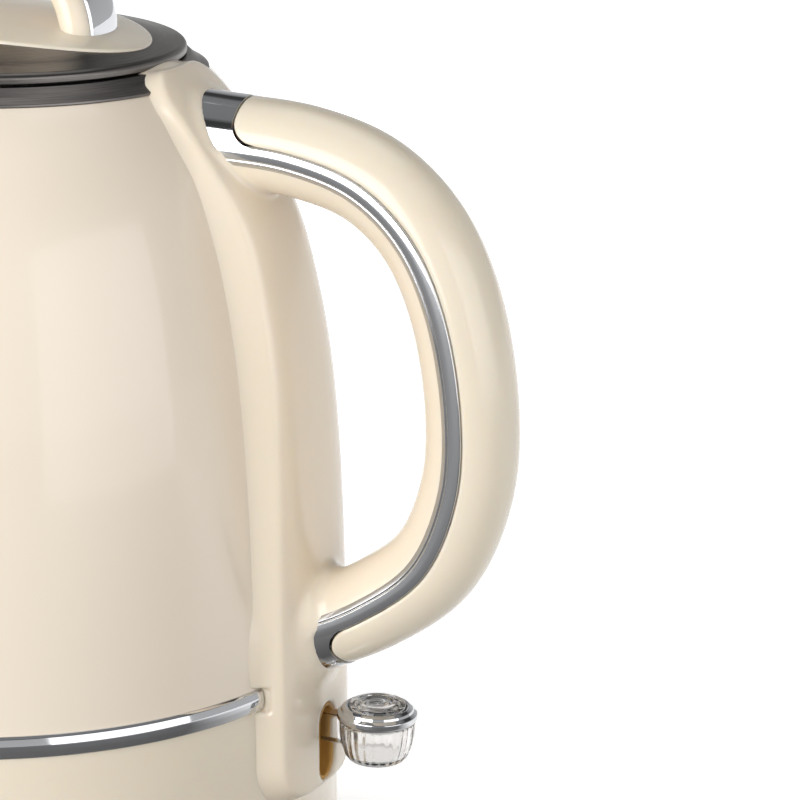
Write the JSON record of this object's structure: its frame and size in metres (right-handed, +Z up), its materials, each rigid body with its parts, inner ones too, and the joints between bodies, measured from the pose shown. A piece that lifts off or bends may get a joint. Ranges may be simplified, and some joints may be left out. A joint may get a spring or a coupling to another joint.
{
  "type": "electric kettle",
  "caption": "Dome-shaped cordless kettle with a bow handle, chrome trim, lift-off lid with an arch grip, clear switch lever and round power base.",
  "frame": {"origin": "on the table under the power base's middle pad, on the jug's vertical axis", "axes": "+Z up, +X towards the handle, -X towards the spout"},
  "size_m": [0.2418, 0.1738, 0.2503],
  "materials": {
    "cream_enamel": "gloss",
    "cream_plastic": "gloss",
    "chrome_trim": "polished",
    "brushed_lid": "brushed",
    "plain_steel": "satin",
    "clear_plastic": "clear",
    "amber_plastic": "satin",
    "dark_plastic": "matte",
    "grey_plastic": "matte",
    "aluminium_disc": "satin",
    "contact_brass": "satin",
    "silicone": "matte",
    "foot_rubber": "matte",
    "screw_steel": "plated"
  },
  "bodies": {
    "power_base": {"base_top_cover": "cream_plastic", "base_bottom_cover": "dark_plastic", "base_feet": "foot_rubber", "base_screws": "screw_steel", "base_connector": "dark_plastic", "base_contacts": "contact_brass", "cord_gland": "dark_plastic", "cord_clamp": "dark_plastic"},
    "turn_ring": {"turn_ring": "dark_plastic"},
    "jug": {"body_shell": "cream_enamel", "spout": "cream_enamel", "collar_ring": "brushed_lid", "base_skirt": "cream_plastic", "band_trim": "chrome_trim", "jug_base_cover": "dark_plastic", "jug_base_screws": "screw_steel", "heater_plate": "plain_steel", "plate_seal": "silicone", "heat_diffuser": "aluminium_disc", "heating_element": "plain_steel", "controller_body": "dark_plastic", "controller_contacts": "contact_brass", "control_bimetals": "plain_steel", "control_screws": "screw_steel", "handle_mount": "cream_plastic", "mount_studs": "plain_steel", "handle_trim": "chrome_trim", "handle_cover": "cream_plastic", "steam_duct": "grey_plastic", "steam_grommet": "silicone", "switch_housing": "amber_plastic", "switch_pin": "plain_steel", "indicator_lamp": "clear_plastic", "steam_bimetal": "plain_steel", "filter_holder": "plain_steel"},
    "filter": {"filter_frame": "grey_plastic", "filter_mesh": "plain_steel"},
    "switch": {"switch_lever": "clear_plastic", "switch_ring": "chrome_trim", "switch_lens": "clear_plastic"},
    "lid": {"lid_plate": "brushed_lid", "lid_inlay": "cream_plastic", "lid_handle": "cream_plastic", "lid_handle_trim": "chrome_trim", "lid_liner": "grey_plastic", "lid_seal": "silicone", "lid_screws": "screw_steel"}
  },
  "joints": [
    {"name": "jug_turn", "type": "hinge", "parent": "power_base", "child": "turn_ring", "pos_m": [0, 0, 0.017], "axis": [0, 0, 1], "continuous": true},
    {"name": "jug_lift", "type": "slide", "parent": "turn_ring", "child": "jug", "axis": [0, 0, 1], "range_m": [0, 0.12]},
    {"name": "filter_slide", "type": "slide", "parent": "jug", "child": "filter", "axis": [1, 0, 0], "range_m": [0, 0.02]},
    {"name": "switch_press", "type": "hinge", "parent": "jug", "child": "switch", "pos_m": [0.06, 0, 0.062], "axis": [0, 1, 0], "range_deg": [0, 14]},
    {"name": "lid_lift", "type": "slide", "parent": "jug", "child": "lid", "axis": [0, 0, 1], "range_m": [0, 0.06]}
  ]
}
